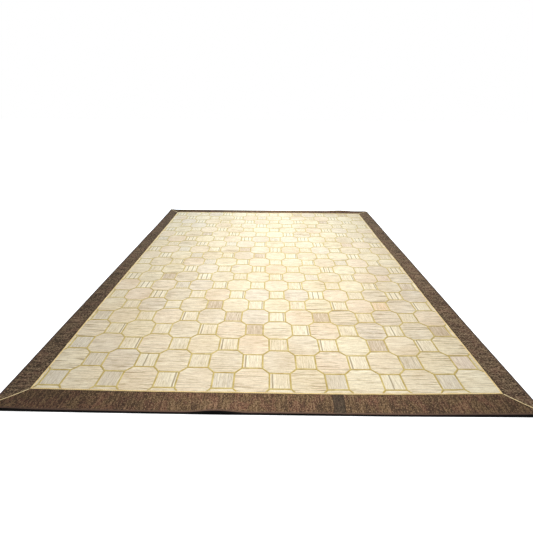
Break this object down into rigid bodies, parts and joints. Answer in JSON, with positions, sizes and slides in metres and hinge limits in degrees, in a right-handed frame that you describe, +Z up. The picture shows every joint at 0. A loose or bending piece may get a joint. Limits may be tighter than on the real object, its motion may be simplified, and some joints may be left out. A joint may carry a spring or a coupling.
{
  "type": "patchwork kilim",
  "caption": "Large flat kilim pieced from cream octagons and small squares outlined in gold yarn, with a dark brown mitred border; lies flat on the floor.",
  "frame": {"origin": "centre of the rug's outer box, on the floor", "axes": "+Y along the rug's length towards its back edge, +X to the right, +Z up"},
  "size_m": [2.9892, 3.8518, 0.0214],
  "materials": {
    "cream_patchwork": "matt flat-woven wool and cotton, undyed cream with faint streaks",
    "gold_cord": "matt mustard-gold yarn",
    "brown_border": "matt dark brown ribbed wool flecked with tan, rust and black",
    "grey_insert": "matt grey-brown ribbed wool"
  },
  "bodies": {
    "root": {"field": "cream_patchwork", "border_back": "brown_border", "border_left": "brown_border", "border_right": "brown_border", "border_front_left": "brown_border", "border_front_right": "brown_border", "border_insert": "grey_insert", "seam_cord_front": "gold_cord", "seam_cord_back": "gold_cord", "seam_cord_left": "gold_cord", "seam_cord_right": "gold_cord", "mitre_cord_front_left": "gold_cord", "mitre_cord_front_right": "gold_cord", "mitre_cord_back_left": "gold_cord", "mitre_cord_back_right": "gold_cord"}
  },
  "joints": []
}
